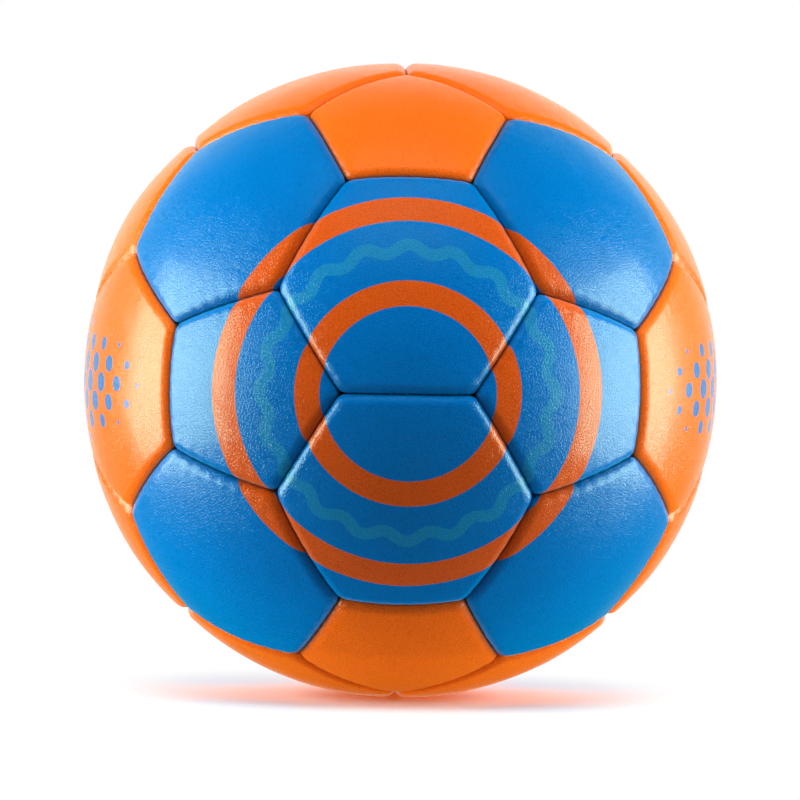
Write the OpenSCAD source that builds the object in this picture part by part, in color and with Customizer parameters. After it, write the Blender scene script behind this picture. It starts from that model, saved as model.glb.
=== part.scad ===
// Handball, match size 2: 32 stitched panels over an inflated bladder
// The origin is the ball's middle, +Z is up, -Y is the front and +X is right.

/* [Ball] */
// Distance round the ball, measured over the crowns of its panels
circumference = 550; // [500:1:620]
// Length of a seam between two hexagons, over that of a seam beside a pentagon
hexagon_seam_share = 1.063; // [0.9:0.001:1.2]
// How far the middle of a panel stands above its seams
crown_rise = 0.55; // [0.3:0.05:1.2]
// Panels whose middle lies within this angle of the front or the back are blue
blue_cap_angle = 56.5; // [30:0.5:85]

/* [Cover panels] */
// Thickness of the foam backed synthetic leather
cover_t = 2.4; // [1.6:0.1:3]
// Radius of the rolled edge beside a seam
edge_roll_r = 3.5; // [2.5:0.1:4.5]
// Depth of the turned in edges below the crowns
fold_depth = 7.2; // [6.6:0.1:9]
// Space between two panels in their seam
seam_gap = 0.2; // [0.1:0.05:0.4]

/* [Backing] */
// Thickness of the layers of cloth behind a panel
backing_t = 0.8; // [0.4:0.1:1.2]
// Space between layers that are glued or pressed together
layer_gap = 0.05; // [0.02:0.01:0.1]

/* [Stitching] */
// Stitch holes along each seam
stitches = 7; // [4:1:8]
// Diameter of the waxed thread where it passes through a hole
thread_d = 0.8; // [0.5:0.05:1]
// Width of the thread where it is drawn flat along a fold
run_w = 1.1; // [1:0.05:1.4]
// Thickness of the thread where it is drawn flat
run_t = 0.5; // [0.3:0.05:0.7]
// Space between the thread and the folds that it holds
thread_clearance = 0.05; // [0.02:0.01:0.08]
// Depth of the stitch line below the crowns
stitch_depth = 5.4; // [5.2:0.1:6]
// Distance from the end of a seam to its first stitch hole
stitch_inset = 4.6; // [4.4:0.1:6]

/* [Bladder] */
// Wall of the inflated rubber bladder
bladder_t = 0.9; // [0.5:0.1:2]
// Space between the bladder and the turned in edges
bladder_gap = 0.3; // [0.2:0.05:0.6]
// Diameter of the patch that strengthens the bladder at the valve
patch_d = 36; // [28:1:44]
// Thickness of the patch
patch_t = 0.8; // [0.5:0.1:1.5]

/* [Valve] */
// Diameter of the neck that shows in the cover
neck_d = 7; // [6.4:0.1:9]
// Depth of the neck's end below the crown
neck_recess = 0.7; // [0.4:0.1:1.5]
// Radius of the rounded rim at the neck's end
neck_rim_r = 0.6; // [0.3:0.1:0.9]
// Space between the neck and the hole in the panel
neck_clearance = 0.2; // [0.1:0.05:0.5]
// Diameter of the flange that is bonded to the patch
flange_d = 22; // [14:1:26]
// Thickness of the flange
flange_t = 1.1; // [0.6:0.1:1.6]
// Diameter of the housing inside the bladder
housing_d = 9; // [8:0.1:12]
// Length of the housing below the bladder's outer face
housing_l = 10; // [8:0.5:14]
// Diameter of the rubber core that seals the valve
core_d = 4.4; // [4:0.1:5]
// Space between the core and its housing
core_clearance = 0.06; // [0.03:0.01:0.1]
// Height of the ledge that the core stands on
ledge_h = 1.5; // [1:0.1:3]
// Diameter of the hole that takes the pump's needle
needle_hole_d = 2.2; // [1.8:0.1:2.6]
// Length of the needle hole, with its funnel
needle_hole_l = 11; // [8:0.5:12]
// Diameter of the funnel that leads the needle in
funnel_d = 3.4; // [2.8:0.1:3.8]
// Depth of the funnel
funnel_h = 0.6; // [0.3:0.1:1]
// Width of the slit that opens below the needle
slit_w = 0.2; // [0.1:0.05:0.4]

/* [Hidden] */
$fn = 72;
blue = [0.0, 0.43, 0.78];
orange = [1.0, 0.49, 0.16];
phi = (1 + sqrt(5)) / 2;
ball_r = circumference / (2 * PI);
half_gap = seam_gap / 2;
overrun = fold_depth;
reach = 2 * ball_r;

// Where the rolled edge leaves the crown it stands this much above it, so that the two cross
roll_lift = 0.05;
// Neighbouring rolled edges stand apart by this much, so that no four faces meet in one point
roll_step = 0.02;
// The rolled edge's profile stops this many degrees round, just past the crossing
roll_end_angle = 86;

function unit(v) = v / norm(v);
function angle_between(a, b) = acos(unit(a) * unit(b));

// Three neighbouring corners of an icosahedron, where three pentagons have their middles
corner_a = [0, 1, phi];
corner_b = [0, -1, phi];
corner_c = [phi, 0, 1];
// The share of an icosahedron's edge that each pentagon takes off
cut_share = 1 / (2 + hexagon_seam_share);
function seam_end(from, to) = (1 - cut_share) * from + cut_share * to;

// A seam's plane holds the ball's middle, and leans from a panel's axis by its tilt
hexagon_axis = corner_a + corner_b + corner_c;
hexagon_seam_normal = cross(corner_a, corner_b);
pentagon_seam_normal = cross(seam_end(corner_a, corner_b), seam_end(corner_a, corner_c));
function tilt(axis, normal) = abs(90 - angle_between(axis, normal));
hexagon_to_hexagon_tilt = tilt(hexagon_axis, hexagon_seam_normal);
hexagon_to_pentagon_tilt = tilt(hexagon_axis, pentagon_seam_normal);
pentagon_tilt = tilt(corner_a, pentagon_seam_normal);
hexagon_seam_half = angle_between(seam_end(corner_a, corner_b), seam_end(corner_b, corner_a)) / 2;
pentagon_seam_half = angle_between(seam_end(corner_a, corner_b), seam_end(corner_a, corner_c)) / 2;

// Each side of a panel about its own axis: direction, tilt and half of the seam's angle
hexagon_sides = [for (k = [0:5]) k % 2 == 0
    ? [60 * k, hexagon_to_hexagon_tilt, hexagon_seam_half]
    : [60 * k, hexagon_to_pentagon_tilt, pentagon_seam_half]];
pentagon_sides = [for (k = [0:4]) [72 * k, pentagon_tilt, pentagon_seam_half]];

// A panel's crown is part of a sphere whose middle is this far out along the panel's axis
hexagon_crown_offset = crown_rise / (1 - cos(hexagon_to_hexagon_tilt));
pentagon_crown_offset = crown_rise / (1 - cos(pentagon_tilt));

// Panels by name and direction: 12 pentagons on the corners of an icosahedron, 20 hexagons on its faces
x_names = ["left", "right"];
y_names = ["front", "back"];
z_names = ["bottom", "top"];
function sign_of(i) = 2 * i - 1;
function pentagon_name(a, b) = str("pentagon_", a, "_", b);
function hexagon_name(a, b) = str("hexagon_", a, "_", b);
pentagons = [for (i = [0, 1], j = [0, 1]) each [
    [pentagon_name(z_names[j], y_names[i]), [0, sign_of(i), phi * sign_of(j)]],
    [pentagon_name(y_names[j], x_names[i]), [sign_of(i), phi * sign_of(j), 0]],
    [pentagon_name(x_names[j], z_names[i]), [phi * sign_of(j), 0, sign_of(i)]]]];
hexagons = concat(
    [for (i = [0, 1], j = [0, 1]) each [
        [hexagon_name(y_names[j], z_names[i]), [0, phi * sign_of(j), sign_of(i) / phi]],
        [hexagon_name(z_names[j], x_names[i]), [sign_of(i) / phi, 0, phi * sign_of(j)]],
        [hexagon_name(x_names[j], y_names[i]), [phi * sign_of(j), sign_of(i) / phi, 0]]]],
    [for (i = [0, 1], j = [0, 1], k = [0, 1])
        [hexagon_name(z_names[k], str(y_names[j], "_", x_names[i])), [sign_of(i), sign_of(j), sign_of(k)]]]);
valve_panel = "hexagon_right_back";
valve_direction = [phi, 1 / phi, 0];

// Panels whose middles are nearer to each other than this share a seam
neighbour_angle = 45;
function neighbours(direction, others) =
    [for (p = others) if (p[1] != direction && angle_between(direction, p[1]) < neighbour_angle) p[1]];

// Turns +X and +Z to these two directions, which stand square to each other
module turned(x_direction, z_direction) {
    x = unit(x_direction);
    z = unit(z_direction);
    y = cross(z, x);
    multmatrix([for (k = [0:2]) [x[k], y[k], z[k], 0]]) children();
}

// Takes a panel to its place on the ball: +Z goes out of its crown and +X towards its first hexagon
module at_panel(direction) {
    z = unit(direction);
    toward = neighbours(direction, hexagons)[0];
    turned(toward - (toward * z) * z, z) children();
}

// Lays the XY plane in the plane of a side's seam: +Z leaves the panel, -X meets the seam's middle
module at_side(side) rotate([0, 90 + side[1], side[0]]) children();

function stitch_angles(half) =
    let (first = half - stitch_inset / ball_r * 180 / PI)
    [for (k = [0:stitches - 1]) first * (2 * k / (stitches - 1) - 1)];
stitch_r = ball_r - stitch_depth;
stitch_hole_d = thread_d + 2 * thread_clearance;
fold_t = half_gap + cover_t + layer_gap + backing_t;

// Half of the ball beyond one seam plane, with its rim rolled over by the edge's radius
module rolled_side(roll_r) {
    rim_y = -half_gap - edge_roll_r;
    rotate_extrude() {
        translate([0, rim_y - reach]) square([roll_r, reach + edge_roll_r]);
        translate([0, rim_y - reach]) square([reach, reach + edge_roll_r * cos(roll_end_angle)]);
        translate([roll_r, rim_y]) intersection() {
            circle(edge_roll_r);
            square(2 * edge_roll_r);
        }
    }
}

// A whole panel without its hollow: the crown's sphere inside the rolled sides
module panel_block(sides, crown_offset) {
    crown_r = ball_r - crown_offset;
    roll_angle = (half_gap + edge_roll_r) / ball_r * 180 / PI;
    intersection() {
        translate([0, 0, crown_offset]) sphere(crown_r);
        intersection_for (k = [0:len(sides) - 1]) {
            from_axis = sides[k][1] - roll_angle;
            crown_height = crown_offset * cos(from_axis)
                + sqrt(crown_r * crown_r - pow(crown_offset * sin(from_axis), 2));
            roll_r = crown_height * cos(roll_angle) - edge_roll_r + roll_lift + roll_step * (k % 3);
            at_side(sides[k]) rolled_side(roll_r);
        }
    }
}

// The space inside a panel at this depth from its crown and from its seams
module panel_hollow(sides, crown_offset, depth) {
    slab = [2 * reach, 2 * reach, reach];
    intersection() {
        translate([0, 0, crown_offset]) sphere(ball_r - crown_offset - depth);
        intersection_for (s = sides)
            at_side(s) translate([-reach, -reach, -half_gap - depth - reach]) cube(slab);
    }
}

module stitch_holes(sides)
    for (s = sides, a = stitch_angles(s[2]))
        at_side(s) rotate(180 + a) translate([stitch_r, 0, -fold_t - overrun / 2])
            cylinder(d = stitch_hole_d, h = fold_t + overrun);

module valve_hole() cylinder(d = neck_d + 2 * neck_clearance, h = reach);

module cover(sides, crown_offset, has_valve) {
    difference() {
        panel_block(sides, crown_offset);
        sphere(ball_r - fold_depth);
        panel_hollow(sides, crown_offset, cover_t);
        stitch_holes(sides);
        if (has_valve) valve_hole();
    }
}

module backing(sides, crown_offset, has_valve) {
    difference() {
        panel_hollow(sides, crown_offset, cover_t + layer_gap);
        sphere(ball_r - fold_depth);
        panel_hollow(sides, crown_offset, cover_t + layer_gap + backing_t);
        stitch_holes(sides);
        if (has_valve) valve_hole();
    }
}

function panel_colour(direction) = abs(unit(direction)[1]) > cos(blue_cap_angle) ? blue : orange;

module hexagon_cover(p)
    color(panel_colour(p[1])) at_panel(p[1]) cover(hexagon_sides, hexagon_crown_offset, p[0] == valve_panel);

module pentagon_cover(p)
    color(panel_colour(p[1])) at_panel(p[1]) cover(pentagon_sides, pentagon_crown_offset, false);

module hexagon_backings()
    color("ivory") for (p = hexagons)
        at_panel(p[1]) backing(hexagon_sides, hexagon_crown_offset, p[0] == valve_panel);

module pentagon_backings()
    color("ivory") for (p = pentagons) at_panel(p[1]) backing(pentagon_sides, pentagon_crown_offset, false);

// One seam's thread in the seam's own plane: a flat run along each fold and a round pass in every hole
module seam_thread(half) {
    angles = stitch_angles(half);
    end_angle = run_w / 2 / stitch_r * 180 / PI;
    run_z = fold_t + thread_clearance + run_t / 2;
    for (z = [-run_z, run_z])
        translate([0, 0, z])
            rotate_extrude(start = 180 + angles[0] - end_angle, angle = 2 * (end_angle - angles[0]))
                translate([stitch_r, 0]) square([run_w, run_t], center = true);
    for (a = angles)
        rotate(180 + a) translate([stitch_r, 0]) cylinder(d = thread_d, h = 2 * run_z, center = true);
}

module hexagon_stitching()
    color("white") for (p = hexagons, q = hexagons)
        if (p[0] < q[0] && angle_between(p[1], q[1]) < neighbour_angle)
            turned(-p[1] - q[1], q[1] - p[1]) seam_thread(hexagon_seam_half);

module pentagon_stitching()
    color("white") for (p = pentagons, s = pentagon_sides) at_panel(p[1]) at_side(s) seam_thread(s[2]);

bladder_r = ball_r - fold_depth - bladder_gap;
patch_base_r = bladder_r + layer_gap;
patch_top_r = patch_base_r + patch_t;
flange_base_r = patch_top_r + layer_gap;
housing_hole_d = housing_d + 2 * neck_clearance;

module shell(inner_r, outer_r) difference() {
    sphere(outer_r);
    sphere(inner_r);
}

// The part of a spherical shell that lies inside this diameter about the valve
module shell_disc(inner_r, outer_r, d) intersection() {
    shell(inner_r, outer_r);
    cylinder(d = d, h = reach);
}

module bladder()
    color("dimgray") at_panel(valve_direction) difference() {
        shell(bladder_r - bladder_t, bladder_r);
        cylinder(d = housing_hole_d, h = reach);
    }

module valve_patch()
    color("black") at_panel(valve_direction) difference() {
        shell_disc(patch_base_r, patch_top_r, patch_d);
        cylinder(d = housing_hole_d, h = reach);
    }

valve_top = ball_r - neck_recess;
housing_bottom = bladder_r - housing_l;
core_bottom = housing_bottom + ledge_h;
core_bore_d = core_d + 2 * core_clearance;
slit_l = needle_hole_d - 2 * slit_w;

module valve_neck(height) {
    rim_x = neck_d / 2 - neck_rim_r;
    rotate_extrude() {
        square([neck_d / 2, height - neck_rim_r]);
        square([rim_x, height]);
        translate([rim_x, height - neck_rim_r]) intersection() {
            circle(neck_rim_r);
            square(neck_rim_r);
        }
    }
}

module valve_body()
    color("black") at_panel(valve_direction) difference() {
        union() {
            shell_disc(flange_base_r, flange_base_r + flange_t, flange_d);
            translate([0, 0, housing_bottom])
                cylinder(d = housing_d, h = flange_base_r + flange_t / 2 - housing_bottom);
            translate([0, 0, flange_base_r]) valve_neck(valve_top - flange_base_r);
        }
        translate([0, 0, core_bottom]) cylinder(d = core_bore_d, h = reach);
        cylinder(d = needle_hole_d, h = reach);
    }

module valve_core()
    color("dimgray") at_panel(valve_direction) difference() {
        translate([0, 0, core_bottom]) cylinder(d = core_d, h = valve_top - core_bottom);
        translate([0, 0, valve_top - needle_hole_l]) cylinder(d = needle_hole_d, h = reach);
        translate([0, 0, valve_top - funnel_h])
            cylinder(d1 = needle_hole_d, d2 = 2 * funnel_d - needle_hole_d, h = 2 * funnel_h);
        translate([-slit_l / 2, -slit_w / 2, core_bottom - overrun])
            cube([slit_l, slit_w, valve_top - needle_hole_l - core_bottom + overrun + slit_w]);
    }

for (p = hexagons) hexagon_cover(p);
for (p = pentagons) pentagon_cover(p);
hexagon_backings();
pentagon_backings();
hexagon_stitching();
pentagon_stitching();
bladder();
valve_patch();
valve_body();
valve_core();
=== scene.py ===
# %% [markdown]
# # A stitched handball
# The construction model is our fixed frame: 32 plain covers, the cloth behind them, the thread, the
# bladder and the valve, in metres about the ball's middle. This lesson keeps every size and place and
# gives the ball its looks: leather drawn in along the seams, a fine grain, printed rings and dots, and
# studio light.

import math

import bpy
from mathutils import Matrix, Vector


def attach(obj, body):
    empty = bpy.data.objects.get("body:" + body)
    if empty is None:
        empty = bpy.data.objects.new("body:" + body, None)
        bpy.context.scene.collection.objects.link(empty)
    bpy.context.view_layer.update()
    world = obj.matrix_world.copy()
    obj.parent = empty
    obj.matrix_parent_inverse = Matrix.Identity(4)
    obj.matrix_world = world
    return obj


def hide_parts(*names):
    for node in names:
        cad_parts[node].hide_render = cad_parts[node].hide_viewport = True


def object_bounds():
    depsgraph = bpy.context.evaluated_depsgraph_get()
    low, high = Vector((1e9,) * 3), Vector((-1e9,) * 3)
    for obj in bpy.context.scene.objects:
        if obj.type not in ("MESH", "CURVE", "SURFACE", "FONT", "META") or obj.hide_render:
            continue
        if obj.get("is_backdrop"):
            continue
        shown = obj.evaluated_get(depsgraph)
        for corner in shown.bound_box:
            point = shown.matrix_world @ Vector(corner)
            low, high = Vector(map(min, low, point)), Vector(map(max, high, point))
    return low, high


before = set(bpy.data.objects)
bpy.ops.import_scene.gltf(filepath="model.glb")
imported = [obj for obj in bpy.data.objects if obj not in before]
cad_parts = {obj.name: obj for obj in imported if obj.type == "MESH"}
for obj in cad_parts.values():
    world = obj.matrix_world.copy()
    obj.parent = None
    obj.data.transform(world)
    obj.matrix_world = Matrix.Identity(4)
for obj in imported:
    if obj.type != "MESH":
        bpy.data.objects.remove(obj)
cad_box = [list(corner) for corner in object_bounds()]
MM = 0.001
print("construction box in mm:", [[round(x / MM, 2) for x in corner] for corner in cad_box])

# %% [markdown]
# ## Where the panels lie
# A 32 panel ball is an icosahedron with its corners cut off. The twelve cuts are pentagons, and what is
# left of the twenty faces are hexagons. Every seam lies in a plane through the ball's middle, so a panel
# is fully told by its direction, and by how far each of its seam planes leans from its axis. The same few
# vectors as in the construction give both, so no table of angles has to be kept in step with it.

# %% Directions of the 32 panels
GOLDEN = (1 + math.sqrt(5)) / 2
SIDE_OF = {"left": -1, "right": 1, "front": -1, "back": 1, "bottom": -1, "top": 1}
X_WORDS = ("left", "right")
Y_WORDS = ("front", "back")
Z_WORDS = ("bottom", "top")


def direction_of(words, lengths):
    """The unit vector whose x, y and z have the signs that these words tell, and these lengths."""
    signs = [SIDE_OF.get(word, 0) for word in words]
    return Vector([sign * length for sign, length in zip(signs, lengths)]).normalized()


def pentagon_directions():
    found = {}
    for z in Z_WORDS:
        for y in Y_WORDS:
            found[f"pentagon_{z}_{y}"] = direction_of((None, y, z), (0, 1, GOLDEN))
    for y in Y_WORDS:
        for x in X_WORDS:
            found[f"pentagon_{y}_{x}"] = direction_of((x, y, None), (1, GOLDEN, 0))
    for x in X_WORDS:
        for z in Z_WORDS:
            found[f"pentagon_{x}_{z}"] = direction_of((x, None, z), (GOLDEN, 0, 1))
    return found


def hexagon_directions():
    found = {}
    for y in Y_WORDS:
        for z in Z_WORDS:
            found[f"hexagon_{y}_{z}"] = direction_of((None, y, z), (0, GOLDEN, 1 / GOLDEN))
    for z in Z_WORDS:
        for x in X_WORDS:
            found[f"hexagon_{z}_{x}"] = direction_of((x, None, z), (1 / GOLDEN, 0, GOLDEN))
    for x in X_WORDS:
        for y in Y_WORDS:
            found[f"hexagon_{x}_{y}"] = direction_of((x, y, None), (GOLDEN, 1 / GOLDEN, 0))
            for z in Z_WORDS:
                found[f"hexagon_{z}_{y}_{x}"] = direction_of((x, y, z), (1, 1, 1))
    return found


pentagons = pentagon_directions()
hexagons = hexagon_directions()
directions = {**hexagons, **pentagons}
print(len(hexagons), "hexagons and", len(pentagons), "pentagons")

# %% The seam planes, from three corners of the icosahedron
HEXAGON_SEAM_SHARE = 1.063  # a seam between two hexagons, over one beside a pentagon
CORNER_A = Vector((0, 1, GOLDEN))
CORNER_B = Vector((0, -1, GOLDEN))
CORNER_C = Vector((GOLDEN, 0, 1))
CUT_SHARE = 1 / (2 + HEXAGON_SEAM_SHARE)


def seam_end(start, end):
    return (1 - CUT_SHARE) * start + CUT_SHARE * end


def tilt(axis, normal):
    """How far a plane leans from a panel's axis."""
    return abs(math.pi / 2 - axis.angle(normal))


HEXAGON_AXIS = CORNER_A + CORNER_B + CORNER_C
PENTAGON_SEAM_NORMAL = seam_end(CORNER_A, CORNER_B).cross(seam_end(CORNER_A, CORNER_C))
HEXAGON_SEAM_HALF = seam_end(CORNER_A, CORNER_B).angle(seam_end(CORNER_B, CORNER_A)) / 2
PENTAGON_SEAM_HALF = seam_end(CORNER_A, CORNER_B).angle(seam_end(CORNER_A, CORNER_C)) / 2
HEXAGON_SIDES = [
    (math.radians(60 * k), tilt(HEXAGON_AXIS, CORNER_A.cross(CORNER_B)), HEXAGON_SEAM_HALF)
    if k % 2 == 0
    else (math.radians(60 * k), tilt(HEXAGON_AXIS, PENTAGON_SEAM_NORMAL), PENTAGON_SEAM_HALF)
    for k in range(6)
]
PENTAGON_SIDES = [
    (math.radians(72 * k), tilt(CORNER_A, PENTAGON_SEAM_NORMAL), PENTAGON_SEAM_HALF) for k in range(5)
]
tilts = [tilt_angle for azimuth, tilt_angle, half in HEXAGON_SIDES[:2] + PENTAGON_SIDES[:1]]
print("tilts in degrees:", [round(math.degrees(tilt_angle), 2) for tilt_angle in tilts])

# %% The ball's own sizes
BALL_R = max(v.co.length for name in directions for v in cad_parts[name].data.vertices)
CROWN_RISE = 0.55 * MM
COVER_T = 2.4 * MM
EDGE_ROLL_R = 3.5 * MM
ROLL_END = math.radians(57)  # where two pressed edges meet, and the roll turns into the fold
FOLD_DEPTH = 7.2 * MM
HALF_GAP = 0.1 * MM
STITCHES = 7
STITCH_INSET = 4.6 * MM
VALVE_HOLE_R = 3.7 * MM
print("ball radius in mm:", round(BALL_R / MM, 3))

# %% [markdown]
# ## Sums made of nodes
# A node tree can work out any formula, but a long sum of Math nodes is hard to read in a script. This
# small class lets a socket be used as a number is: each plus, times or sine adds the node that does it.
# It works in a Geometry Nodes tree, in a material and in the world alike, because all of them know the
# Math node.

# %% A socket that can be used in a formula
class Formula:
    """One output of a node tree, for use in sums."""

    def __init__(self, tree, socket):
        self.tree = tree
        self.socket = socket

    def step(self, operation, *others):
        node = self.tree.nodes.new("ShaderNodeMath")
        node.operation = operation
        for entry, value in zip(node.inputs, (self, *others)):
            plug(self.tree, entry, value)
        return Formula(self.tree, node.outputs[0])

    def __add__(self, other):
        return self.step("ADD", other)

    def __sub__(self, other):
        return self.step("SUBTRACT", other)

    def __mul__(self, other):
        return self.step("MULTIPLY", other)

    def __truediv__(self, other):
        return self.step("DIVIDE", other)

    def under(self, number):
        """A number less this value."""
        return self.step("MULTIPLY_ADD", -1.0, number)

    def clamped(self):
        """This value, kept from 0 to 1."""
        node = self.tree.nodes.new("ShaderNodeClamp")
        plug(self.tree, node.inputs["Value"], self)
        return Formula(self.tree, node.outputs[0])

    def between(self, low, high, from_value=0.0, to_value=1.0):
        """Goes smoothly from one value to another while this one goes from low to high."""
        node = self.tree.nodes.new("ShaderNodeMapRange")
        node.interpolation_type = "SMOOTHSTEP"
        for label, value in zip(node.inputs.keys()[:5], (self, low, high, from_value, to_value)):
            plug(self.tree, node.inputs[label], value)
        return Formula(self.tree, node.outputs[0])


def plug(tree, entry, value):
    """Gives an input its value: a link from a formula, or else a fixed one."""
    if isinstance(value, Formula):
        tree.links.new(value.socket, entry)
    else:
        entry.default_value = value


def vector_step(tree, operation, *values, output="Vector"):
    node = tree.nodes.new("ShaderNodeVectorMath")
    node.operation = operation
    entries = [node.inputs["Scale"]] if operation == "SCALE" else node.inputs[1:]
    for entry, value in zip([node.inputs[0], *entries], values):
        plug(tree, entry, value)
    return Formula(tree, node.outputs[output])


def vector(tree, x, y, z):
    node = tree.nodes.new("ShaderNodeCombineXYZ")
    for entry, value in zip(node.inputs, (x, y, z)):
        plug(tree, entry, value)
    return Formula(tree, node.outputs[0])


def parts(value):
    """The x, y and z of a vector."""
    node = value.tree.nodes.new("ShaderNodeSeparateXYZ")
    plug(value.tree, node.inputs[0], value)
    return [Formula(value.tree, output) for output in node.outputs]


def noise(tree, place, scale, detail=2.0, roughness=0.5, output="Fac"):
    node = tree.nodes.new("ShaderNodeTexNoise")
    plug(tree, node.inputs["Vector"], place)
    for label, value in (("Scale", scale), ("Detail", detail), ("Roughness", roughness)):
        plug(tree, node.inputs[label], value)
    return Formula(tree, node.outputs[output])


def drift(tree, place, scale, reach):
    """A shift that changes slowly with the place, by up to half this reach each way."""
    swing = vector_step(tree, "SUBTRACT", noise(tree, place, scale, output="Color"), (0.5, 0.5, 0.5))
    return vector_step(tree, "SCALE", swing, reach)


# %% [markdown]
# ## A panel that is drawn in along its seams
# A real panel is cut flat, its edges are turned in, and two panels are stitched together from the inside.
# Once the bladder swells, each panel domes, and its edges roll over into the seam. It could be sculpted,
# or a flat polygon could be bevelled, but then neighbours would not meet and the roll would change along
# the seam. Here a rule makes it: a grid is wrapped round the panel's axis, and each of its rows has a place
# along the section: over the crown, down the roll, in along the fold, and back under the leather.

# %% Rows and columns of a panel
COLUMNS = 300
CROWN_ROWS = 26
CROWN_CROWDING = 0.6
STAGES = {"crown": CROWN_ROWS, "roll": 10, "fold": 3, "hem": 2, "inside": 3, "under": 8}
CORNER_BLEND = 0.67 * MM
MERGE_REACH = 0.001 * MM
PANEL_INPUTS = (
    ("Crown rise", "NodeSocketFloat"),
    ("Hole radius", "NodeSocketFloat"),
    ("Closing rows", "NodeSocketInt"),
    ("Panel turn", "NodeSocketVector"),
    ("Seed", "NodeSocketFloat"),
    ("Panel tone", "NodeSocketFloat"),
    ("Print shift", "NodeSocketVector"),
    ("Material", "NodeSocketMaterial"),
)


def new_tree(name, inputs):
    """A Geometry Nodes tree with these named inputs, and a function that gives an input's value."""
    tree = bpy.data.node_groups.new(name, "GeometryNodeTree")
    tree.interface.new_socket("Geometry", in_out="OUTPUT", socket_type="NodeSocketGeometry")
    for label, kind in inputs:
        tree.interface.new_socket(label, in_out="INPUT", socket_type=kind)
    entry = tree.nodes.new("NodeGroupInput")

    def given(label):
        return Formula(tree, entry.outputs[label])

    return tree, given


def panel_grid(tree, rows):
    """A flat grid, and for each of its points the share round the panel and the row that it is in."""
    grid = tree.nodes.new("GeometryNodeMeshGrid")
    plug(tree, grid.inputs["Size X"], 1.0)
    plug(tree, grid.inputs["Size Y"], 1.0)
    plug(tree, grid.inputs["Vertices X"], COLUMNS + 1)
    plug(tree, grid.inputs["Vertices Y"], rows)
    position = tree.nodes.new("GeometryNodeInputPosition")
    x, y = parts(Formula(tree, position.outputs[0]))[:2]
    return Formula(tree, grid.outputs["Mesh"]), x + 0.5, (y + 0.5) * (rows - 1)


# %% Where the section runs, row by row
def stage_shares(row):
    """For each stage of the section, how far through it the row is, from 0 to 1."""
    shares = {}
    start = 0
    for stage, count in STAGES.items():
        shares[stage] = ((row - start) / count).clamped()
        start += count
    shares["closing"] = (row - start).clamped()
    return shares


def crown_radius(theta, offset):
    """How far the crown stands from the ball's middle at this angle from the panel's axis."""
    sphere_r = offset.under(BALL_R)
    across = offset * theta.step("SINE")
    return offset * theta.step("COSINE") + (sphere_r * sphere_r - across * across).step("SQRT")


def seam_angle(theta, lean, tilt_angle):
    """The angle from a point of the panel to a seam's plane."""
    height = theta.step("COSINE") * math.sin(tilt_angle) - theta.step("SINE") * lean
    return height.step("ARCSINE")


def outline_angle(leans, sides, inset_angle):
    """How far from the axis a line lies that keeps this angle to every seam, with rounded corners."""
    sharpness = BALL_R / CORNER_BLEND
    total = None
    for lean, (azimuth, tilt_angle, half) in zip(leans, sides):
        across = (lean * lean + math.sin(tilt_angle) ** 2).step("SQRT")
        swing = lean.step("ARCTAN2", math.sin(tilt_angle))
        theta = (inset_angle.step("SINE") / across).step("ARCCOSINE") - swing
        term = (theta * -sharpness).step("EXPONENT")
        total = term if total is None else total + term
    return total.step("LOGARITHM", math.e) * (-1 / sharpness)


# %% How far the stitches draw the leather in, and how uneven it lies
PUCKER_DEPTH = 0.07 * MM
PUCKER_REACH = 3.0 * MM
WOBBLE = 0.45 * MM
WOBBLE_SIZE = 38 * MM
DENT = 0.25 * MM
DENT_SIZE = 45 * MM


def stitch_pull(theta, azimuth, leans, sides):
    """1 at a stitch beside the seam, -1 midway between two, and fading with the distance from it."""
    total = None
    for lean, (side_azimuth, tilt_angle, half) in zip(leans, sides):
        pitch = 2 * (half - STITCH_INSET / BALL_R) / (STITCHES - 1)
        along = (theta.step("SINE") * (azimuth - side_azimuth).step("SINE")).step("ARCSINE")
        near = (seam_angle(theta, lean, tilt_angle) * (-BALL_R / PUCKER_REACH)).step("EXPONENT")
        wave = (along * (math.tau / pitch)).step("COSINE") * near
        total = wave if total is None else total + wave
    return total


def seam_distance(theta, leans, sides):
    """The distance to the nearest seam, in metres."""
    nearest = None
    for lean, (side_azimuth, tilt_angle, half) in zip(leans, sides):
        angle = seam_angle(theta, lean, tilt_angle)
        nearest = angle if nearest is None else nearest.step("MINIMUM", angle)
    return nearest * BALL_R


def attribute_stored(tree, geometry, name, kind, value):
    node = tree.nodes.new("GeometryNodeStoreNamedAttribute")
    node.data_type = kind
    node.domain = "POINT"
    plug(tree, node.inputs["Geometry"], geometry)
    plug(tree, node.inputs["Name"], name)
    plug(tree, node.inputs["Value"], value)
    return Formula(tree, node.outputs["Geometry"])


# %% The section of one panel
def panel_section(given, row, azimuth, leans, sides):
    """For a point of the grid, its angle from the panel's axis and its distance from the ball's middle."""
    stage = stage_shares(row)
    offset = given("Crown rise") * (1 / (1 - math.cos(sides[0][1])))
    roll_angle = stage["roll"] * ROLL_END
    rolled = roll_angle.step("SINE").under(math.sin(ROLL_END)) * EDGE_ROLL_R
    inset = rolled + stage["hem"] * COVER_T + HALF_GAP
    depth = roll_angle.step("COSINE").under(1.0) * EDGE_ROLL_R
    outline = outline_angle(leans, sides, (inset / depth.under(BALL_R)).step("ARCSINE"))
    crown_share = stage["crown"] * (stage["crown"] * -CROWN_CROWDING + (1 + CROWN_CROWDING))
    share_out = crown_share * stage["under"].under(1.0)
    hole = given("Hole radius") / BALL_R
    theta = hole + (outline - hole) * share_out
    crown = crown_radius(theta, offset)
    fold_r = BALL_R - FOLD_DEPTH
    down = crown - depth
    down = down + down.under(fold_r) * stage["fold"]
    up = down + ((crown - COVER_T) - down) * stage["inside"]
    radius = up + (crown - up) * stage["closing"]
    pull = stitch_pull(theta, azimuth, leans, sides) * PUCKER_DEPTH
    return theta, radius - pull


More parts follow.
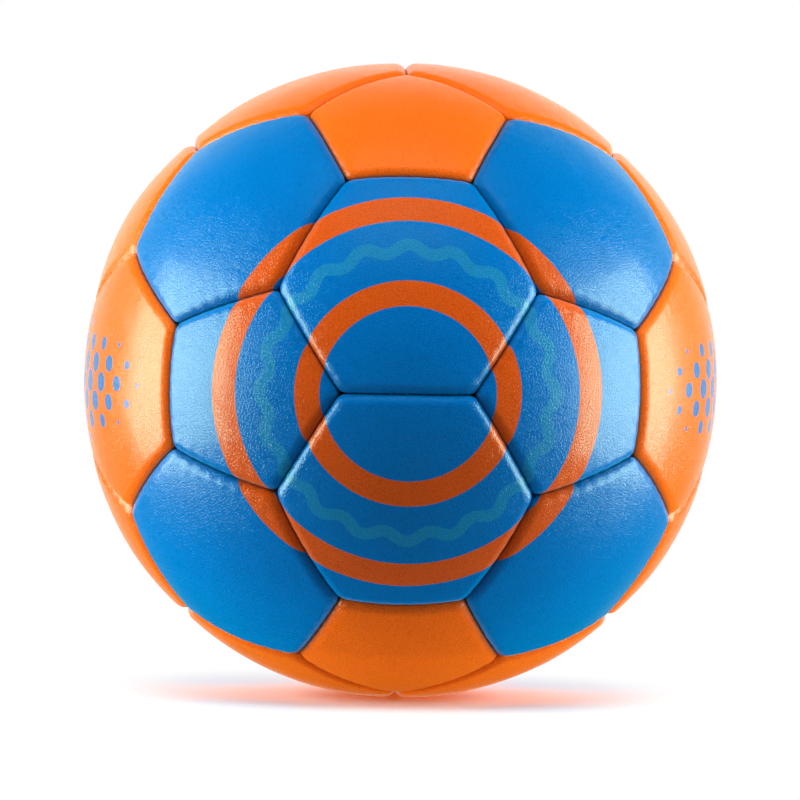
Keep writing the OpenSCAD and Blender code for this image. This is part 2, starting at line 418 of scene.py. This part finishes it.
def laid_by_hand(tree, place, seed):
    """The place, with the slight wander of a seam and the slight dents of a dome."""
    wander = drift(tree, place, 1 / WOBBLE_SIZE, 2 * WOBBLE)
    seeded = vector_step(tree, "ADD", place, vector(tree, seed, 0.0, 0.0))
    dent = (noise(tree, seeded, 1 / DENT_SIZE, detail=1.0) - 0.5) * (2 * DENT)
    raised = vector_step(tree, "SCALE", vector_step(tree, "NORMALIZE", place), dent)
    return vector_step(tree, "ADD", vector_step(tree, "ADD", place, wander), raised)


# %% The tree of one panel
def panel_tree(name, sides):
    tree, given = new_tree(name, PANEL_INPUTS)
    rows = given("Closing rows") + (sum(STAGES.values()) + 1)
    grid, share, row = panel_grid(tree, rows)
    azimuth = share * -math.tau
    leans = [
        (azimuth - side_azimuth).step("COSINE") * math.cos(tilt_angle)
        for side_azimuth, tilt_angle, half in sides
    ]
    theta, radius = panel_section(given, row, azimuth, leans, sides)
    place = vector(
        tree,
        radius * theta.step("SINE") * azimuth.step("COSINE"),
        radius * theta.step("SINE") * azimuth.step("SINE"),
        radius * theta.step("COSINE"),
    )
    turn = tree.nodes.new("ShaderNodeVectorRotate")
    turn.rotation_type = "EULER_XYZ"
    plug(tree, turn.inputs["Vector"], place)
    plug(tree, turn.inputs["Rotation"], given("Panel turn"))
    place = laid_by_hand(tree, Formula(tree, turn.outputs[0]), given("Seed"))
    setter = tree.nodes.new("GeometryNodeSetPosition")
    closeness = attribute_stored(tree, grid, "seam_distance", "FLOAT", seam_distance(theta, leans, sides))
    tone = attribute_stored(tree, closeness, "panel_tone", "FLOAT", given("Panel tone"))
    shift = attribute_stored(tree, tone, "print_shift", "FLOAT_VECTOR", given("Print shift"))
    plug(tree, setter.inputs["Geometry"], shift)
    plug(tree, setter.inputs["Position"], place)
    merge = tree.nodes.new("GeometryNodeMergeByDistance")
    plug(tree, merge.inputs["Geometry"], Formula(tree, setter.outputs[0]))
    plug(tree, merge.inputs["Distance"], MERGE_REACH)
    realize = tree.nodes.new("GeometryNodeRealizeInstances")
    plug(tree, realize.inputs["Geometry"], Formula(tree, merge.outputs[0]))
    finish = tree.nodes.new("GeometryNodeSetMaterial")
    plug(tree, finish.inputs["Geometry"], Formula(tree, realize.outputs[0]))
    plug(tree, finish.inputs["Material"], given("Material"))
    leave = tree.nodes.new("NodeGroupOutput")
    plug(tree, leave.inputs["Geometry"], Formula(tree, finish.outputs[0]))
    print(name, "tree:", len(tree.nodes), "nodes")
    return tree


# %% [markdown]
# ## Thirty-two panels from two trees
# All pentagons are alike, and all hexagons, but on a real ball no two domes are the same: the leather
# stretches here and there. So each panel gets its own seed, its own rise and its own tone, from its place
# in the list and not from chance, and the ball comes out the same on each run. The tree's result is made
# a plain mesh, because the model that leaves Blender carries no modifiers.

# %% One panel, made plain
BLUE_CAP_ANGLE = math.radians(56.5)
RISE_SPREAD = 0.12
PRINT_SHIFT = 0.5 * MM
RISE_STEP = 0.618
TONE_STEP = 0.755
SHIFT_STEPS = (0.569, 0.414, 0.732)
SHARP_ANGLE = math.radians(50)
VALVE_PANEL = "hexagon_right_back"
NEIGHBOUR_ANGLE = math.radians(45)
SAME_ANGLE = math.radians(1)


def scatter(number, step):
    """A value from -1 to 1 that follows no pattern the eye can find, always the same for one number."""
    return 2 * ((number * step) % 1.0) - 1


def panel_turn(direction):
    """The turn that takes +Z to the panel's direction and +X towards its first hexagon."""
    others = [d for d in hexagons.values() if SAME_ANGLE < direction.angle(d) < NEIGHBOUR_ANGLE]
    toward = others[0] - others[0].dot(direction) * direction
    x = toward.normalized()
    y = direction.cross(x)
    return Matrix((x, y, direction)).transposed().to_euler()


def make_plain(maker, name):
    """Turns what an object's modifier made into a new object with a plain mesh."""
    bpy.context.view_layer.update()
    depsgraph = bpy.context.evaluated_depsgraph_get()
    evaluated = maker.evaluated_get(depsgraph)
    mesh = bpy.data.meshes.new_from_object(evaluated, preserve_all_data_layers=True, depsgraph=depsgraph)
    mesh.name = name
    mesh.polygons.foreach_set("material_index", [0] * len(mesh.polygons))
    finish = mesh.materials[len(mesh.materials) - 1]
    mesh.materials.clear()
    mesh.materials.append(finish)
    piece = bpy.data.objects.new(name, mesh)
    bpy.context.scene.collection.objects.link(piece)
    bpy.data.objects.remove(maker)
    return piece


def run_tree(tree, values, name):
    """Runs a tree with these values for its named inputs."""
    maker = bpy.data.objects.new(name + "_maker", bpy.data.meshes.new(name + "_start"))
    bpy.context.scene.collection.objects.link(maker)
    modifier = maker.modifiers.new("Panel", "NODES")
    modifier.node_group = tree
    for label, value in values.items():
        modifier[tree.interface.items_tree[label].identifier] = value
    return make_plain(maker, name)


def is_blue(direction):
    return abs(direction.y) > math.cos(BLUE_CAP_ANGLE)


def make_panel(name, number, tree, material):
    is_valve = name == VALVE_PANEL
    values = {
        "Crown rise": CROWN_RISE * (1 + RISE_SPREAD * scatter(number, RISE_STEP)),
        "Hole radius": VALVE_HOLE_R if is_valve else 0.0,
        "Closing rows": 1 if is_valve else 0,
        "Panel turn": panel_turn(directions[name]),
        "Seed": float(number),
        "Panel tone": scatter(number, TONE_STEP),
        "Print shift": [PRINT_SHIFT * scatter(number, step) for step in SHIFT_STEPS],
        "Material": material,
    }
    piece = run_tree(tree, values, name + "_leather")
    piece.data.shade_smooth()
    piece.data.set_sharp_from_angle(angle=SHARP_ANGLE)
    return piece


# %% [markdown]
# ## The leather
# The covers are synthetic leather: a coloured film with a fine pressed grain over foam. A photograph of
# leather could be laid on as a picture, but it would stretch on the domes and repeat. Worked out from the
# place on the ball instead, the grain is the same size on every panel. Small flat cells with narrow
# creases between them make the height, a slower noise makes the dips that break up the border of a
# highlight, and each panel is a touch lighter or darker than the next. Painted shade darkens the colour
# in the creases of the grain and close beside each seam.

# %% Helpers for every material
def new_material(name):
    material = bpy.data.materials.new(name)
    material.use_nodes = True
    tree = material.node_tree
    tree.nodes.clear()
    shader = tree.nodes.new("ShaderNodeBsdfPrincipled")
    leave = tree.nodes.new("ShaderNodeOutputMaterial")
    tree.links.new(shader.outputs["BSDF"], leave.inputs["Surface"])
    return material, tree, shader


def place_of(tree):
    """The place on the ball, in metres from its middle."""
    node = tree.nodes.new("ShaderNodeTexCoord")
    return Formula(tree, node.outputs["Object"])


def attribute_of(tree, name, output="Fac"):
    node = tree.nodes.new("ShaderNodeAttribute")
    node.attribute_name = name
    return Formula(tree, node.outputs[output])


def blended(tree, share, first, second):
    """The first colour at 0 and the second at 1."""
    node = tree.nodes.new("ShaderNodeMix")
    node.data_type = "RGBA"
    plug(tree, node.inputs["Factor"], share)
    for label, value in (("A", first), ("B", second)):
        entry = next(e for e in node.inputs if e.name == label and e.type == "RGBA")
        plug(tree, entry, value if isinstance(value, Formula) else (*value, 1.0))
    return Formula(tree, next(e for e in node.outputs if e.type == "RGBA"))


def cells(tree, place, size):
    """How far a place lies from the edge of its cell, as a share of the cells' size."""
    node = tree.nodes.new("ShaderNodeTexVoronoi")
    node.feature = "DISTANCE_TO_EDGE"
    plug(tree, node.inputs["Vector"], place)
    plug(tree, node.inputs["Scale"], 1 / size)
    return Formula(tree, node.outputs["Distance"])


def bumped(tree, height, depth, shader):
    node = tree.nodes.new("ShaderNodeBump")
    plug(tree, node.inputs["Distance"], depth)
    plug(tree, node.inputs["Height"], height)
    tree.links.new(node.outputs["Normal"], shader.inputs["Normal"])


# %% The pressed grain
GRAIN_SIZE = 0.80 * MM
GRAIN_STRAY = 0.30 * MM
STRAY_SIZE = 1.0 * MM
CREASE_SHARE = 0.17
DIP_SIZE = 3.2 * MM
DIP_WEIGHT = 1.6
GRAIN_DEPTH = 0.032 * MM


def grain_height(tree, place):
    """The pebbles alone, and the height of pebbles and dips together."""
    strayed = vector_step(tree, "ADD", place, drift(tree, place, 1 / STRAY_SIZE, GRAIN_STRAY))
    pebble = cells(tree, strayed, GRAIN_SIZE).between(0.0, CREASE_SHARE)
    dips = noise(tree, place, 1 / DIP_SIZE, detail=3.0, roughness=0.6)
    return pebble, pebble + dips * DIP_WEIGHT


# %% [markdown]
# ## The printed rings and dots
# The ball carries ink over its seams. It is printed on the flat panels before these are sewn, so a ring
# never quite meets itself across a seam. The design here is a plain one: two orange rings about the front
# and the back with a fine pale wave between them, and a field of blue dots on each side that shrink away
# from its middle. Each is a distance from a curve, worked out on the ball, and a soft step turns the
# distance into ink.

# %% Ink masks
INK_EDGE = 0.14 * MM
INK_STRAY = 0.16 * MM
INK_STRAY_SIZE = 1.1 * MM
OUTER_RING = {"angle": 34.2, "width": 7.5 * MM}
INNER_RING = {"angle": 18.0, "width": 7.0 * MM}
PALE_WAVE = {"angle": 26.2, "width": 3.5 * MM, "swing": 0.8, "waves": 20}
DOT_PITCH = 10.5 * MM
DOT_R = 3.6 * MM
DOTS_HALF_LENGTH = 54 * MM
DOTS_HALF_HEIGHT = 18 * MM


def ink(distance, width):
    """1 inside a band of this width about a curve at distance 0, and 0 outside it."""
    return distance.step("ABSOLUTE").between(width / 2 - INK_EDGE, width / 2 + INK_EDGE, 1.0, 0.0)


def ring_mask(polar, ring):
    return ink((polar - math.radians(ring["angle"])) * BALL_R, ring["width"])


def wave_mask(polar, around, wave):
    """A wavy ring, as wide on its slopes as on its crests."""
    swing = math.radians(wave["swing"])
    phase = around * wave["waves"]
    offset = polar - phase.step("COSINE") * swing - math.radians(wave["angle"])
    slope = phase.step("SINE") * (swing * wave["waves"] / math.sin(math.radians(wave["angle"])))
    return ink(offset / (slope * slope + 1.0).step("SQRT") * BALL_R, wave["width"])


def cell_middle(value, shift):
    """The middle of the grid cell that a value falls in."""
    return ((value / DOT_PITCH + shift).step("FLOOR") + (0.5 - shift)) * DOT_PITCH


def dot_mask(along, height, shift):
    """One square grid of dots. Each dot's own place sets how large it is."""
    middle_u, middle_v = cell_middle(along, shift), cell_middle(height, shift)
    share_u = middle_u / DOTS_HALF_LENGTH
    share_v = middle_v / DOTS_HALF_HEIGHT
    share = (share_u * share_u + share_v * share_v).under(1.0).step("MAXIMUM", 0.0).step("SQRT")
    u, v = along - middle_u, height - middle_v
    past = (u * u + v * v).step("SQRT") - share * DOT_R
    return past.between(-2 * INK_EDGE, 0.0, 1.0, 0.0)


def print_place(tree, place):
    """The place on the ball with each panel's shift and the ink's ragged edge."""
    shifted = vector_step(tree, "ADD", place, attribute_of(tree, "print_shift", "Vector"))
    return vector_step(tree, "ADD", shifted, drift(tree, place, 1 / INK_STRAY_SIZE, INK_STRAY))


def blue_prints(tree, place):
    x, y, z = parts(print_place(tree, place))
    polar = (x * x + z * z).step("SQRT").step("ARCTAN2", y.step("ABSOLUTE"))
    around = z.step("ARCTAN2", x)
    orange = ring_mask(polar, OUTER_RING).step("MAXIMUM", ring_mask(polar, INNER_RING))
    return [(wave_mask(polar, around, PALE_WAVE), PALE_INK), (orange, ORANGE_INK)]


def orange_prints(tree, place):
    x, y, z = parts(print_place(tree, place))
    along = y.step("ARCTAN2", x.step("ABSOLUTE")) * BALL_R
    dots = dot_mask(along, z, 0.0).step("MAXIMUM", dot_mask(along, z, 0.5))
    return [(dots, BLUE_INK)]


# %% Blue and orange leather
BLUE = (0.0, 0.148, 0.48)
ORANGE = (0.92, 0.14, 0.006)
BLUE_INK = (0.0, 0.15, 0.42)
ORANGE_INK = (0.64, 0.085, 0.003)
PALE_INK = (0.010, 0.21, 0.45)
TONE_DEPTH = 0.05
CLOUD_SIZE = 9 * MM
CLOUD_DEPTH = 0.10
# painted shade: how much darker the colour is drawn in the creases of the grain
PAINTED_CREASE_SHADE = 0.22
# painted shade beside each seam: the colour there is scaled down to this share, over this reach
PAINTED_SEAM_SHADE = 0.65
PAINTED_SEAM_SHADE_REACH = (0.1 * MM, 0.6 * MM)
GLOSS_SIZE = 5 * MM
GLOSS_SPREAD = 0.10
INK_GLOSS = 0.03
SPECULAR = 0.90
SHEEN_WEIGHT = 0.15
SHEEN_ROUGHNESS = 0.5


def leather(name, colour, prints, roughness, gloss_tint, sheen_tint):
    """prints is a function that gives (mask, ink colour) pairs, which are laid over the leather in turn."""
    material, tree, shader = new_material(name)
    place = place_of(tree)
    pebble, height = grain_height(tree, place)
    paint = colour
    inked = None
    for mask, ink_colour in prints(tree, place):
        paint = blended(tree, mask, paint, ink_colour)
        inked = mask if inked is None else inked.step("MAXIMUM", mask)
    clouds = noise(tree, place, 1 / CLOUD_SIZE, detail=3.0) - 0.5
    level = attribute_of(tree, "panel_tone") * TONE_DEPTH + clouds * CLOUD_DEPTH + 1.0
    # painted shade: the colour is drawn darker in the creases between the grain's cells
    creases = pebble.under(1.0) * -PAINTED_CREASE_SHADE + 1.0
    # painted shade: the colour darkens towards each seam, from 0.6 mm away to 0.1 mm away
    seam = attribute_of(tree, "seam_distance").between(*PAINTED_SEAM_SHADE_REACH, PAINTED_SEAM_SHADE, 1.0)
    paint = vector_step(tree, "SCALE", paint, level * creases * seam)
    plug(tree, shader.inputs["Base Color"], paint)
    uneven = noise(tree, place, 1 / GLOSS_SIZE) * GLOSS_SPREAD + (roughness - GLOSS_SPREAD / 2)
    plug(tree, shader.inputs["Roughness"], uneven - inked * INK_GLOSS)
    shader.inputs["Specular IOR Level"].default_value = SPECULAR
    shader.inputs["Specular Tint"].default_value = (*gloss_tint, 1.0)
    shader.inputs["Sheen Weight"].default_value = SHEEN_WEIGHT
    shader.inputs["Sheen Roughness"].default_value = SHEEN_ROUGHNESS
    shader.inputs["Sheen Tint"].default_value = (*sheen_tint, 1.0)
    bumped(tree, height, GRAIN_DEPTH, shader)
    print(name, "material:", len(tree.nodes), "nodes")
    return material


blue_leather = leather(
    "blue_leather",
    BLUE,
    blue_prints,
    roughness=0.18,
    gloss_tint=(0.44, 0.75, 0.50),
    sheen_tint=(0.0, 0.95, 0.80),
)
orange_leather = leather(
    "orange_leather",
    ORANGE,
    orange_prints,
    roughness=0.21,
    gloss_tint=(1.0, 0.85, 0.56),
    sheen_tint=(1.0, 0.75, 0.10),
)

# %% Make the 32 panels
trees = {
    "hexagon": panel_tree("Hexagon panel", HEXAGON_SIDES),
    "pentagon": panel_tree("Pentagon panel", PENTAGON_SIDES),
}
panels = {}
for number, (name, direction) in enumerate(directions.items()):
    blue = is_blue(direction)
    piece = make_panel(name, number, trees[name.split("_")[0]], blue_leather if blue else orange_leather)
    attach(piece, "root")
    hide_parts(name)
    panels[name] = piece
triangles = sum(len(face.vertices) - 2 for piece in panels.values() for face in piece.data.polygons)
print("panels:", len(panels), "with", triangles, "triangles")

# %% [markdown]
# ## What lies under the leather
# The cloth, the thread, the bladder and the valve keep the construction's shape, because it is already
# the real one. Only the valve shows, through its hole, but each of them gets its own finish: whoever opens
# the ball up, or hides a panel, should find cloth that is woven and rubber that is matt.

# %% Woven cloth and waxed thread
CLOTH_PITCH = 0.55 * MM
CLOTH_DEPTH = 0.12 * MM
CLOTH_DARK = (0.50, 0.46, 0.38)
CLOTH_PALE = (0.80, 0.77, 0.68)
FUZZ_SIZE = 0.4 * MM
THREAD_PITCH = 0.9 * MM
THREAD_DEPTH = 0.05 * MM
THREAD_DARK = (0.55, 0.52, 0.45)
THREAD_PALE = (0.85, 0.82, 0.74)
TWIST_SIZE = 0.3 * MM


def woven_cloth():
    material, tree, shader = new_material("backing_cloth")
    x, y, z = parts(vector_step(tree, "SCALE", place_of(tree), math.tau / CLOTH_PITCH))
    weave = (x.step("SINE") * y.step("SINE") + y.step("SINE") * z.step("SINE")) * 0.5
    fuzz = noise(tree, place_of(tree), 1 / FUZZ_SIZE, detail=3.0)
    paint = blended(tree, weave * 0.25 + fuzz * 0.5, CLOTH_DARK, CLOTH_PALE)
    plug(tree, shader.inputs["Base Color"], paint)
    shader.inputs["Roughness"].default_value = 0.92
    shader.inputs["Sheen Weight"].default_value = 0.3
    bumped(tree, weave + fuzz, CLOTH_DEPTH, shader)
    return material


def waxed_thread():
    material, tree, shader = new_material("waxed_thread")
    x, y, z = parts(vector_step(tree, "SCALE", place_of(tree), math.tau / THREAD_PITCH))
    twist = (x + y + z + noise(tree, place_of(tree), 1 / TWIST_SIZE) * 3.0).step("SINE")
    plug(tree, shader.inputs["Base Color"], blended(tree, twist * 0.5 + 0.5, THREAD_DARK, THREAD_PALE))
    shader.inputs["Roughness"].default_value = 0.45
    shader.inputs["Coat Weight"].default_value = 0.2
    bumped(tree, twist, THREAD_DEPTH, shader)
    return material


# %% Rubber
BLOOM_SIZE = 6 * MM
BLOOM_GLOSS = 0.18
RUBBER_GRAIN_SIZE = 0.35 * MM
RUBBER_DEPTH = 0.02 * MM


def rubber(name, dark, pale, roughness):
    """Matt rubber with the cloudy bloom of chalk on it."""
    material, tree, shader = new_material(name)
    place = place_of(tree)
    bloom = noise(tree, place, 1 / BLOOM_SIZE, detail=5.0, roughness=0.6)
    fine = noise(tree, place, 1 / RUBBER_GRAIN_SIZE)
    plug(tree, shader.inputs["Base Color"], blended(tree, bloom.between(0.35, 0.75), dark, pale))
    plug(tree, shader.inputs["Roughness"], bloom * BLOOM_GLOSS + (roughness - BLOOM_GLOSS / 2))
    bumped(tree, fine + bloom * 2.0, RUBBER_DEPTH, shader)
    return material


cloth = woven_cloth()
thread = waxed_thread()
CAD_FINISHES = {
    "hexagon_backings": cloth,
    "pentagon_backings": cloth,
    "hexagon_stitching": thread,
    "pentagon_stitching": thread,
    "bladder": rubber("bladder_rubber", (0.012, 0.012, 0.013), (0.045, 0.045, 0.048), 0.55),
    "valve_patch": rubber("patch_rubber", (0.010, 0.010, 0.011), (0.030, 0.030, 0.032), 0.60),
    "valve_body": rubber("valve_rubber", (0.012, 0.012, 0.013), (0.035, 0.035, 0.037), 0.50),
    "valve_core": rubber("core_rubber", (0.030, 0.030, 0.032), (0.080, 0.080, 0.084), 0.55),
}
for name, material in CAD_FINISHES.items():
    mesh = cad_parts[name].data
    for index in range(len(mesh.materials)):
        mesh.materials[index] = material
    print(name, "keeps its shape, in", material.name)

# %% [markdown]
# ## Light, floor and camera
# Product photographs of balls are taken from far off through a long lens, with a softbox close by on each
# side. The two stand level with the ball and a touch in front of its sides, and each leaves one bright
# patch on its flank, which breaks up in the grain at its border. Three large lamps, above, behind and
# under the table, fill the shade and are hidden from reflections, where they would leave patches of their
# own. The floor lets the lowest one through, as a lit glass table does, and still takes the ball's shadow.
# The world is white for the camera. Reflections see that white only behind the ball and above a line just
# below level, which gives the rims their pale edge, and the rest of its light is a weak even glow.

# %% Softboxes
SIDE_BOX = {"elevation": 2.5, "distance": 0.40, "size": (0.31, 0.35)}


def outward(azimuth, elevation):
    """The direction away from the ball's middle, in degrees. Azimuth 0 is the front, 90 the right."""
    a, e = math.radians(azimuth), math.radians(elevation)
    return Vector((math.sin(a) * math.cos(e), -math.cos(a) * math.cos(e), math.sin(e)))


def softbox(name, azimuth, elevation, distance, size, power):
    """A rectangular lamp that looks at the ball's middle."""
    lamp = bpy.data.lights.new(name, "AREA")
    lamp.shape = "RECTANGLE"
    lamp.size, lamp.size_y = size
    lamp.energy = power
    holder = bpy.data.objects.new(name, lamp)
    holder.location = outward(azimuth, elevation) * distance
    holder.rotation_mode = "QUATERNION"
    holder.rotation_quaternion = outward(azimuth, elevation).to_track_quat("Z", "Y")
    bpy.context.scene.collection.objects.link(holder)
    return holder


side_boxes = [
    softbox("left_softbox", azimuth=-83, power=2.7, **SIDE_BOX),
    softbox("right_softbox", azimuth=83, power=2.55, **SIDE_BOX),
]
fills = [
    softbox("top_fill", azimuth=0, elevation=69, distance=1.3, size=(1.0, 1.0), power=23),
    softbox("back_fill", azimuth=180, elevation=25, distance=1.3, size=(1.0, 1.0), power=12),
    softbox("table_fill", azimuth=180, elevation=-70, distance=1.0, size=(0.8, 0.8), power=14),
]
for fill in fills:
    fill.visible_glossy = False
print("lamps:", [lamp.name for lamp in side_boxes + fills])

# %% World
WORLD_AMBIENT = 0.05
BACKDROP_EDGE = (0.70, 0.95)  # reflections see white past this share of the way to straight behind
BACKDROP_FOOT = (-0.35, -0.05)  # and above this height, with straight down as -1


def ray_kinds(tree, *kinds):
    """For each of these kinds, 1 where the ray is of that kind and 0 where it isn't."""
    node = tree.nodes.new("ShaderNodeLightPath")
    return [Formula(tree, node.outputs[f"Is {kind} Ray"]) for kind in kinds]


world = bpy.data.worlds.new("studio")
bpy.context.scene.world = world
world.use_nodes = True
tree = world.node_tree
tree.nodes.clear()
look = tree.nodes.new("ShaderNodeTexCoord")
y, z = parts(Formula(tree, look.outputs["Generated"]))[1:]
behind = y.between(*BACKDROP_EDGE) * z.between(*BACKDROP_FOOT)
from_camera, through, mirrored = ray_kinds(tree, "Camera", "Transmission", "Glossy")
seen = from_camera.step("MAXIMUM", through).step("MAXIMUM", mirrored * behind)
ambient = mirrored.under(1.0) * WORLD_AMBIENT
backdrop = tree.nodes.new("ShaderNodeBackground")
plug(tree, backdrop.inputs["Color"], (1.0, 1.0, 1.0, 1.0))
plug(tree, backdrop.inputs["Strength"], seen.step("MAXIMUM", ambient))
leave = tree.nodes.new("ShaderNodeOutputWorld")
tree.links.new(backdrop.outputs[0], leave.inputs["Surface"])
print("world:", len(tree.nodes), "nodes")

# %% Floor
FLOOR_R = 60.0
FLOOR_CORNERS = 96
FLOOR_LIGHT = 0.86
BOUNCE_LIGHT = 0.26  # the floor is darker for the light that it throws back on the ball
SHADOW_R = 0.11
SHADOW_CORE_SHARE = 0.3
floor_z = cad_box[0][2]


def disc(name, radius, height):
    turns = [math.tau * k / FLOOR_CORNERS for k in range(FLOOR_CORNERS)]
    mesh = bpy.data.meshes.new(name)
    ring = [(radius * math.cos(t), radius * math.sin(t), height) for t in turns]
    mesh.from_pydata(ring, [], [tuple(range(FLOOR_CORNERS))])
    piece = bpy.data.objects.new(name, mesh)
    bpy.context.scene.collection.objects.link(piece)
    return piece


def floor_finish():
    """A pale floor that keeps the ball's shadow, and turns to plain white away from it."""
    material, tree, shader = new_material("pale_floor")
    shader.inputs["Roughness"].default_value = 0.9
    shader.inputs["Specular IOR Level"].default_value = 0.1
    from_camera, through, bounced = ray_kinds(tree, "Camera", "Transmission", "Diffuse")
    plug(tree, shader.inputs["Base Color"], bounced * (BOUNCE_LIGHT - FLOOR_LIGHT) + FLOOR_LIGHT)
    seen = from_camera.step("MAXIMUM", through)
    x, y = parts(place_of(tree))[:2]
    away = (x * x + y * y).step("SQRT").between(SHADOW_CORE_SHARE * SHADOW_R, SHADOW_R)
    white = tree.nodes.new("ShaderNodeEmission")
    mixer = tree.nodes.new("ShaderNodeMixShader")
    plug(tree, mixer.inputs[0], seen * away)
    tree.links.new(shader.outputs[0], mixer.inputs[1])
    tree.links.new(white.outputs[0], mixer.inputs[2])
    leave = next(node for node in tree.nodes if node.type == "OUTPUT_MATERIAL")
    tree.links.new(mixer.outputs[0], leave.inputs["Surface"])
    return material


floor = disc("floor", FLOOR_R, floor_z)
floor.data.materials.append(floor_finish())
floor.visible_glossy = False
floor.visible_shadow = False
floor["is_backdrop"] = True

# %% Camera
CAMERA_AZIMUTH = -1.43
CAMERA_ELEVATION = 2.68
CAMERA_ROLL = 0.94
CAMERA_DISTANCE = 2.592
LENS_MM = 424
SENSOR_MM = 36
CLIP_END = 200
LOOK_BELOW = 5.5 * MM
lens = bpy.data.cameras.new("camera")
lens.lens = LENS_MM
lens.sensor_width = SENSOR_MM
lens.clip_end = CLIP_END
camera = bpy.data.objects.new("camera", lens)
bpy.context.scene.collection.objects.link(camera)
back = outward(CAMERA_AZIMUTH, CAMERA_ELEVATION)
camera.rotation_mode = "QUATERNION"
level = back.to_track_quat("Z", "Y")
roll = Matrix.Rotation(math.radians(CAMERA_ROLL), 3, "Z").to_quaternion()
camera.rotation_quaternion = level @ roll
up = camera.rotation_quaternion @ Vector((0, 1, 0))
camera.location = back * CAMERA_DISTANCE - up * LOOK_BELOW
bpy.context.scene.camera = camera
bpy.context.scene.view_settings.view_transform = "Standard"
print("camera at", [round(c, 3) for c in camera.location], "with a lens of", LENS_MM, "mm")

# %% Sizes before and after
sizes = {"cad": cad_box, "visual": [list(corner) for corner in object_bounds()]}
growth = [round((v - c) / MM, 2) for c, v in zip(cad_box[1], sizes["visual"][1])]
print("the panels stand past the construction box by, in mm:", growth)
